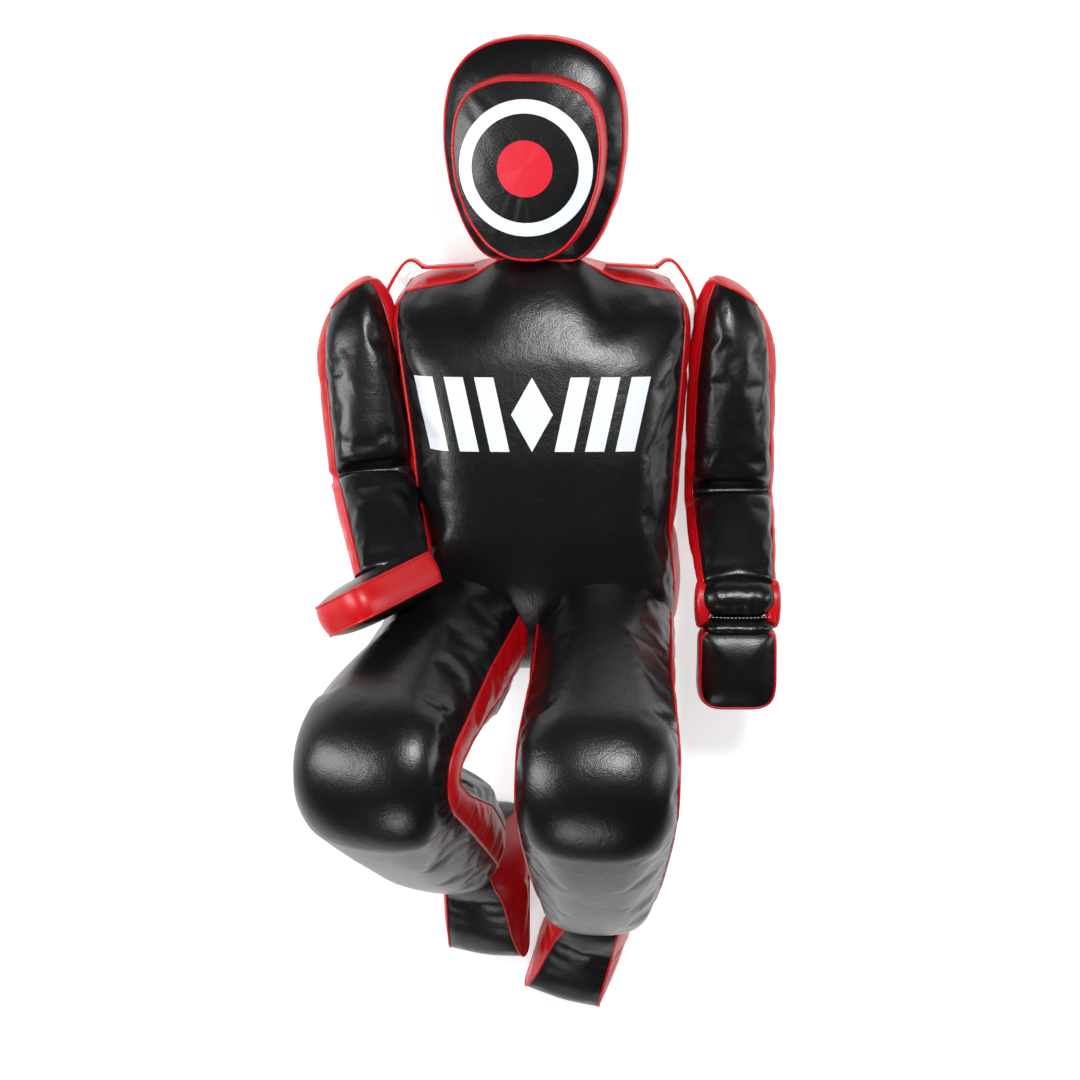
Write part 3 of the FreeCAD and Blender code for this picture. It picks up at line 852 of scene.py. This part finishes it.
def ribbon(name, path, sign, low):
    """A flat strap that follows a path seen from the front."""
    line = np.array(path, float)
    fine = np.stack([np.interp(np.linspace(0, len(line) - 1, 60), np.arange(len(line)),
                               line[:, k]) for k in (0, 1)], 1)
    fine = smooth_line(fine, 6)
    ways = np.gradient(fine, axis=0)
    ways /= np.linalg.norm(ways, axis=1)[:, None]
    points, faces = [], []
    for (x, y), (dx, dy) in zip(fine, ways):
        for lift, side in ((0, -1), (0, 1), (1, 1), (1, -1)):
            z = low + STRAP_WIDTH * (0.5 + 0.5 * side)
            points.append((sign * (x - dy * STRAP_THICK * lift), y + dx * STRAP_THICK * lift, z))
    for k in range(len(fine) - 1):
        for n in range(4):
            a, b = 4 * k + n, 4 * k + (n + 1) % 4
            face = (a, a + 4, b + 4, b)
            faces.append(face if sign > 0 else face[::-1])
    last = 4 * (len(fine) - 1)
    for face in ((0, 1, 2, 3), (last + 3, last + 2, last + 1, last)):
        faces.append(face if sign > 0 else face[::-1])
    obj = new_object(name, points, faces, ["red_vinyl"], smooth=False)
    bevel = obj.modifiers.new("Edge", "BEVEL")
    bevel.width = STRAP_EDGE
    bevel.segments = 2
    bevel.limit_method = "ANGLE"
    apply_modifiers(obj)
    return obj


def build_straps():
    bases = []
    for side, sign in SIDES.items():
        low = joint_point(side + "_arm_raise").z - STRAP_WIDTH / 2
        bases.append(ribbon(side + "_strap_base", BASE_PATH, sign, low))
        tab = ribbon(side + "_strap_tab", TAB_PATH, sign, low)
        lines = [smooth_line([(sign * x, y, low + z) for x, y, z in line], 1)
                 for line in THREAD_ENDS]
        thread_ends = cords(side + "_strap_thread", lines, THREAD_RADIUS, "white_thread", sides=6)
        body = side + "_shoulder_strap"
        declare(tab, (body,), body)
        declare(thread_ends, (), body)
    base = join(bases)
    base.name = "strap_bases"
    declare(base, ("shoulder_strap_bases",), "torso")


class OBJECT_OT_dummy_straps(bpy.types.Operator):
    """Build the straps that hold the arms to the torso."""
    bl_idname = "object.dummy_straps"
    bl_label = "Straps"

    def execute(self, context):
        build_straps()
        return {"FINISHED"}


# ---- pillows: head, face pad, hands and feet ------------------------------
class Pillow:
    """Two panels of one outline with a strip sewn between them."""

    def __init__(self, name, panel_kind=BLACK, strip_kind=RED):
        self.name = name
        self.panel_kind = panel_kind
        self.strip_kind = strip_kind
        self.points = []
        self.faces = []
        self.kinds = []
        self.seams = []
        self.pins = set()

    def build(self, seat, outline, rings, rows, front, back, crowns, strip, has_back=True):
        """front and back give the height at an outline point; crowns the panels' swell."""
        count = len(outline)
        centre = outline.mean(0)
        local = []
        for level, sign, crown in ((front, 1, crowns[0]), (back, -1, crowns[1])):
            if sign < 0 and not has_back:
                break
            for ring in range(rings):
                share = 1 - ring / rings
                flat = centre + (outline - centre) * share
                swell = crown * (1 - share ** 2.6) ** 0.75 * sign
                local += [(x, y, level(x, y) + swell) for x, y in flat]
            local.append((*centre, level(*centre) + crown * sign))
        front_size = rings * count + 1
        strip_start = len(local)
        normal = np.roll(outline, -1, 0) - np.roll(outline, 1, 0)
        normal = np.stack([normal[:, 1], -normal[:, 0]], 1)
        normal /= np.linalg.norm(normal, axis=1)[:, None]
        last = rows - 1 if has_back else rows
        for row in range(1, last + 1):
            share = row / rows
            swell = strip * math.sin(math.pi * share) ** 0.8
            for (x, y), (nx, ny) in zip(outline, normal):
                height = level_mix(front(x, y), back(x, y), share)
                local.append((x + nx * swell, y + ny * swell, height))
        origin, across, up, ahead = seat
        self.points = [tuple(origin + across * x + up * y + ahead * z) for x, y, z in local]
        self.add_panel(0, count, rings, False)
        if has_back:
            self.add_panel(front_size, count, rings, True)
        self.seams.append([k % count for k in range(count + 1)])
        rows_ids = [[k for k in range(count)]]
        for row in range(last):
            rows_ids.append([strip_start + row * count + k for k in range(count)])
        if has_back:
            rows_ids.append([front_size + k for k in range(count)])
            self.seams.append([front_size + k % count for k in range(count + 1)])
        for upper, lower in zip(rows_ids, rows_ids[1:]):
            for k in range(count):
                n = (k + 1) % count
                self.faces.append((upper[k], lower[k], lower[n], upper[n]))
                self.kinds.append(self.strip_kind)
        if not has_back:
            self.pins |= set(rows_ids[-1])

    def add_panel(self, start, count, rings, flip):
        for ring in range(rings):
            for k in range(count):
                a, b = start + ring * count + k, start + ring * count + (k + 1) % count
                if ring < rings - 1:
                    face = (a, b, b + count, a + count)
                else:
                    face = (a, b, start + rings * count)
                self.faces.append(face[::-1] if flip else face)
                self.kinds.append(self.panel_kind)


def level_mix(high, low, share):
    return high * (1 - share) + low * share


def closed_outline(half, count, rounds=3):
    """A closed outline, evenly spaced, from rows of (height, half width)."""
    plus = [(width, height) for height, width in half]
    minus = [(-width, height) for height, width in half]
    return even_loop(plus + minus[::-1], count, rounds)


def even_loop(points, count, rounds):
    loop = np.array(points + points[:1], float)
    reach = np.concatenate([[0], np.cumsum(np.linalg.norm(np.diff(loop, axis=0), axis=1))])
    places = np.linspace(0, reach[-1], count, endpoint=False)
    even = np.stack([np.interp(places, reach, loop[:, k]) for k in (0, 1)], 1)
    for _ in range(rounds):
        even = even * 0.5 + (np.roll(even, 1, 0) + np.roll(even, -1, 0)) * 0.25
    return even


HEAD_YAW = math.radians(-9.0)
HEAD_START = 0.046
HEAD_OUTLINE = [(0, 0.055), (0.010, 0.068), (0.038, 0.086), (0.085, 0.104), (0.140, 0.112),
                (0.185, 0.111), (0.222, 0.103), (0.248, 0.084), (0.264, 0.056),
                (0.271, 0.022)]
HOOD_SEAM_FRONT, HOOD_SEAM_BACK, HOOD_CROWNS = 0.050, 0.014, (0.024, 0.086)
PAD_OUTLINE = [(0.003, 0.020), (0.018, 0.048), (0.050, 0.071), (0.095, 0.087),
               (0.140, 0.091), (0.178, 0.086), (0.205, 0.070), (0.219, 0.034)]
PAD_RISE, PAD_TOP, PAD_CROWN = 0.007, 0.108, 0.012
TARGET_UP = 0.122
RING_OUTER, RING_INNER, DOT_RADIUS = 0.082, 0.0655, 0.034


def head_frame():
    """The head's chin point and its across, up and front directions."""
    up = joint_axis("head_turn")
    level = Vector((1, 0, 0))
    front = level.cross(up)
    across = level * math.cos(HEAD_YAW) - front * math.sin(HEAD_YAW)
    chin = joint_point("head_turn") + up * HEAD_START
    return chin, across, up, across.cross(up)


def build_hood(settings):
    pillow = Pillow("hood")
    outline = closed_outline(HEAD_OUTLINE, 124)
    pillow.build(head_frame(), outline, 14, 6, lambda x, y: HOOD_SEAM_FRONT,
                 lambda x, y: HOOD_SEAM_BACK, HOOD_CROWNS, 0.003)
    pieces = finish_cover(pillow, settings, limit=0.008, panel_slack=0.006)
    declare_pair(pieces, "head", ("hood_front_panel", "hood_back_panel", "head_fill"),
                 "hood_gusset")


def build_face(settings):
    chin, across, up, front = head_frame()
    pillow = Pillow("face")
    outline = closed_outline(PAD_OUTLINE, 104)
    seat = (chin + up * PAD_RISE, across, up, front)
    pillow.build(seat, outline, 13, 7, lambda x, y: PAD_TOP, lambda x, y: HOOD_SEAM_FRONT,
                 (PAD_CROWN, 0.0), 0.005, has_back=False)
    pieces = finish_cover(pillow, settings, limit=0.006, panel_slack=-0.004)
    declare_pair(pieces, "head", ("face_panel", "face_fill"), "face_gusset")
    return pieces[0]


def disc_grid(radius, inner, rings, count):
    """Points and faces of a flat ring; a tiny inner radius makes it a disc."""
    points, faces = [], []
    for ring in range(rings + 1):
        size = inner + (radius - inner) * ring / rings
        for k in range(count):
            turn = 2 * math.pi * k / count
            points.append((size * math.cos(turn), size * math.sin(turn)))
    for ring in range(rings):
        for k in range(count):
            a, b = ring * count + k, ring * count + (k + 1) % count
            faces.append((a, a + count, b + count, b))
    return points, faces


def build_target(face):
    chin, across, up, front = head_frame()
    middle = chin + up * TARGET_UP + front * 0.3
    for name, node, slot, radius, inner in (
            ("target_ring_print", "target_ring", "white_print", RING_OUTER, RING_INNER),
            ("target_dot_print", "target_dot", "red_print", DOT_RADIUS, 0.0006)):
        flat, faces = disc_grid(radius, inner, 5 if inner > 0.01 else 10, 96)
        points = [middle + across * x + up * y for x, y in flat]
        laid = lay_on(face, points, -front)
        target = new_object(name, laid, faces, [slot])
        declare(target, (node,), "head")


NECK_TABLE = [(-0.062, 0.052, 0.036), (-0.030, 0.054, 0.040), (-0.005, 0.058, 0.042),
              (0.020, 0.062, 0.040), (0.040, 0.064, 0.036)]


def build_neck(settings):
    joint, up = joint_point("neck_nod"), joint_axis("head_turn")
    front = Vector((1, 0, 0)).cross(up)
    cover = Cover("neck")
    places = places_along(NECK_TABLE[0][0], NECK_TABLE[-1][0])
    for place, row in zip(places, table_rows(NECK_TABLE, places, rounds=2)):
        half, thick = row
        outline = section(half, -half, thick, -thick, thick * 0.5, -thick * 0.5, 0.004, 0.004)
        cover.ring(joint - up * place, (1, 0, 0), front, outline)
    cover.close(BLACK, BLACK, (0.002, 0.002))
    pieces = finish_cover(cover, settings, limit=0.004)
    declare_pair(pieces, "neck", ("neck_panels", "neck_fill"), "neck_gussets")


class OBJECT_OT_dummy_head(bpy.types.Operator):
    """Build the neck, the hood and the face pad with its target."""
    bl_idname = "object.dummy_head"
    bl_label = "Head"

    def execute(self, context):
        settings = context.scene.dummy_cover
        build_neck(settings)
        build_hood(settings)
        build_target(build_face(settings))
        return {"FINISHED"}


HAND_HALF = [(0.0, 0.036), (0.006, 0.043), (0.030, 0.047), (0.75, 0.048), (0.93, 0.044),
             (1.0, 0.030)]
HAND_WAYS = {"right": (-0.61, -0.16, 0.775), "left": (0.0, -1.0, 0.05)}
HAND_RUN = {"right": (-0.016, 0.128), "left": (0.054, 0.154)}
HAND_SHIFT = {"right": Vector((0.032, 0, 0.010)), "left": Vector((0, 0, 0))}


# name, place along and across the hand, half width, half length and half thickness, slot
WRIST_ROLLS = [("wrist_roll", 0.012, 0, (0.047, 0.026, 0.031), "black_vinyl"),
               ("cuff_roll", 0.050, 0, (0.046, 0.014, 0.029), "black_vinyl"),
               ("wrist_flap_inner", 0.022, -0.045, (0.010, 0.031, 0.019), "red_vinyl"),
               ("wrist_flap_outer", 0.022, 0.045, (0.010, 0.031, 0.019), "red_vinyl")]
HAND_SEAM = 0.019       # height of a hand's seams above its middle


def build_hand(side, settings):
    wrist = joint_point(side + "_wrist") + HAND_SHIFT[side]
    along = Vector(HAND_WAYS[side]).normalized()
    across = joint_axis(side + "_wrist")
    front = along.cross(across)
    start, end = HAND_RUN[side]
    half = [(share * (end - start), width) for share, width in HAND_HALF]
    pillow = Pillow(side + "_hand")
    seat = (wrist + along * start, -across, along, front)
    pillow.build(seat, closed_outline(half, 84, rounds=4), 8, 7, lambda x, y: HAND_SEAM,
                 lambda x, y: -HAND_SEAM, (0.012, 0.012), 0.004)
    hand = side + "_hand"
    pieces = finish_cover(pillow, settings, limit=0.005, panel_slack=-0.002)
    declare_pair(pieces, hand, (hand + "_panels", hand + "_fill"), hand + "_gussets")
    if side == "left":
        for name, place, aside, sizes, slot in WRIST_ROLLS:
            middle = wrist + along * place + across * aside
            piece = roll("left_" + name, middle, across, along, front, sizes, slot)
            declare(piece, (), "left_hand")
        line = [wrist + along * 0.0345 + across * (0.040 * share)
                + front * (0.0292 - 0.006 * share * share) for share in np.linspace(-1, 1, 24)]
        row = stitch_row("left_wrist_stitches", line, "white_thread")
        declare(row, (), "left_hand")


def roll(name, centre, across, along, front, sizes, slot):
    """A stuffed roll or flap of cover at the wrist."""
    half, reach, thick = sizes
    points, faces = [], []
    turns, slices = 40, 40
    for k in range(slices + 1):
        share = -math.cos(math.pi * k / slices)
        size = max(0.02, (1 - abs(share) ** 5) ** 0.5)
        for n in range(turns):
            turn = 2 * math.pi * n / turns
            pucker = 1 + 0.03 * noise.noise(Vector((share * 9, turn * 1.3, reach * 90)))
            points.append(centre + across * (half * share)
                          + along * (reach * size * pucker * math.cos(turn))
                          + front * (thick * size ** 0.7 * pucker * math.sin(turn)))
    for k in range(slices):
        for n in range(turns):
            a, b = k * turns + n, k * turns + (n + 1) % turns
            faces.append((a, b, b + turns, a + turns))
    return new_object(name, points, faces, [slot])


class OBJECT_OT_dummy_hands(bpy.types.Operator):
    """Build both mitt hands."""
    bl_idname = "object.dummy_hands"
    bl_label = "Hands"

    def execute(self, context):
        for side in SIDES:
            build_hand(side, context.scene.dummy_cover)
        return {"FINISHED"}


# the foot's side profile as (towards the toe, above the ankle)
FOOT_PROFILE = [(-0.058, -0.086), (0.156, -0.086), (0.160, -0.060), (0.122, -0.036),
                (0.060, -0.014), (0.030, 0.010), (0.012, 0.018), (-0.030, 0.018),
                (-0.052, -0.010), (-0.062, -0.060)]
TOE_WAYS = {"right": (0, -1, 0), "left": (-0.297, -0.955, 0)}


def foot_half(x, y):
    """Half the foot's width, narrower towards the ankle."""
    return 0.054 - 0.26 * max(0.0, y + 0.062)


def build_foot(side, settings):
    ankle, across = joint_point(side + "_ankle"), joint_axis(side + "_ankle")
    toe = Vector(TOE_WAYS[side])
    toe = (toe - across * toe.dot(across)).normalized()
    up = across.cross(-toe)
    up = up if up.z > 0 else -up
    outline = even_loop(FOOT_PROFILE, 92, 3)
    pillow = Pillow(side + "_foot", panel_kind=RED, strip_kind=BLACK)
    seat = (ankle, toe, up, toe.cross(up))
    pillow.build(seat, outline, 9, 14, foot_half, lambda x, y: -foot_half(x, y), (0.006, 0.006),
                 0.004)
    foot = side + "_foot"
    pieces = finish_cover(pillow, settings, limit=0.005, panel_slack=0.008)
    declare_pair(pieces, foot, (foot + "_panels", foot + "_fill"), foot + "_gussets")


class OBJECT_OT_dummy_feet(bpy.types.Operator):
    """Build both wedge feet."""
    bl_idname = "object.dummy_feet"
    bl_label = "Feet"

    def execute(self, context):
        for side in SIDES:
            build_foot(side, context.scene.dummy_cover)
        return {"FINISHED"}


# ---- stage ---------------------------------------------------------------
FLOOR_REACH, FLOOR_DROP = 9.0, 0.004
SKY, SKY_STRENGTH = (0.9, 0.93, 1, 1), 0.04
MIDDLE = (0, -0.05, 0.15)
# name, place, aim, width, height, watts
LIGHTS = [("left_softbox", (-1.7, 0.2, 1.5), MIDDLE, 0.8, 1.3, 34),
          ("overhead_box", (0.42, 1.15, 2.3), MIDDLE, 0.38, 0.38, 40),
          ("right_fill", (2.1, 0.3, 1.2), MIDDLE, 0.6, 1.3, 14),
          ("foot_fill", (-0.5, -2.2, 1.9), (0, -0.4, 0), 0.7, 0.7, 12)]


def area_light(name, place, aim, width, height, watts):
    data = bpy.data.lights.new(name, "AREA")
    data.shape = "RECTANGLE"
    data.size = width
    data.size_y = height
    data.energy = watts
    light = bpy.data.objects.new(name, data)
    light.location = place
    light.rotation_euler = (Vector(aim) - Vector(place)).to_track_quat("-Z", "Y").to_euler()
    bpy.context.scene.collection.objects.link(light)


class OBJECT_OT_dummy_stage(bpy.types.Operator):
    """Set up the floor, the lights and the camera."""
    bl_idname = "object.dummy_stage"
    bl_label = "Stage"

    def execute(self, context):
        stage = context.scene.dummy_stage
        mesh = bpy.data.meshes.new("floor")
        corners = [(-1, -1), (1, -1), (1, 1), (-1, 1)]
        mesh.from_pydata([(x * FLOOR_REACH, y * FLOOR_REACH, 0) for x, y in corners], [],
                         [(0, 1, 2, 3)])
        mesh.materials.append(floor_paint("floor_paint"))
        floor = bpy.data.objects.new("floor", mesh)
        floor.location.z = -FLOOR_DROP
        context.scene.collection.objects.link(floor)
        world = bpy.data.worlds.new("studio")
        world.use_nodes = True
        sky = world.node_tree.nodes["Background"].inputs
        sky["Color"].default_value = SKY
        sky["Strength"].default_value = SKY_STRENGTH
        context.scene.world = world
        for light in LIGHTS:
            area_light(*light)
        camera_data = bpy.data.cameras.new("camera")
        camera_data.lens = stage.lens
        camera_data.sensor_width = 36
        camera = bpy.data.objects.new("camera", camera_data)
        lean = Vector((0, math.sin(stage.tilt), math.cos(stage.tilt)))
        camera.location = Vector((0, 0, stage.height)) + lean * stage.distance
        camera.rotation_euler = (-stage.tilt, 0, 0)
        context.scene.collection.objects.link(camera)
        context.scene.camera = camera
        context.scene.view_settings.view_transform = "Standard"
        return {"FINISHED"}


class VIEW3D_PT_dummy(bpy.types.Panel):
    """The dummy's build steps."""
    bl_label = "Grappling Dummy"
    bl_idname = "VIEW3D_PT_dummy"
    bl_space_type = "VIEW_3D"
    bl_region_type = "UI"
    bl_category = "Dummy"

    def draw(self, context):
        for step in STEPS:
            self.layout.operator(step.bl_idname)


STEPS = (OBJECT_OT_dummy_torso, OBJECT_OT_dummy_straps, OBJECT_OT_dummy_head,
         OBJECT_OT_dummy_arms, OBJECT_OT_dummy_hands, OBJECT_OT_dummy_legs,
         OBJECT_OT_dummy_feet, OBJECT_OT_dummy_stage)
CLASSES = (DummyCover, DummyStage, *STEPS, VIEW3D_PT_dummy)


def register():
    for kind in CLASSES:
        bpy.utils.register_class(kind)
    bpy.types.Scene.dummy_cover = PointerProperty(type=DummyCover)
    bpy.types.Scene.dummy_stage = PointerProperty(type=DummyStage)


def unregister():
    del bpy.types.Scene.dummy_cover
    del bpy.types.Scene.dummy_stage
    for kind in reversed(CLASSES):
        bpy.utils.unregister_class(kind)


def main():
    register()
    make_materials(bpy.context.scene.dummy_cover)
    bpy.ops.object.dummy_torso()
    bpy.ops.object.dummy_straps()
    bpy.ops.object.dummy_head()
    bpy.ops.object.dummy_arms()
    bpy.ops.object.dummy_hands()
    bpy.ops.object.dummy_legs()
    bpy.ops.object.dummy_feet()
    bpy.ops.object.dummy_stage()


if __name__ == "__main__":
    main()
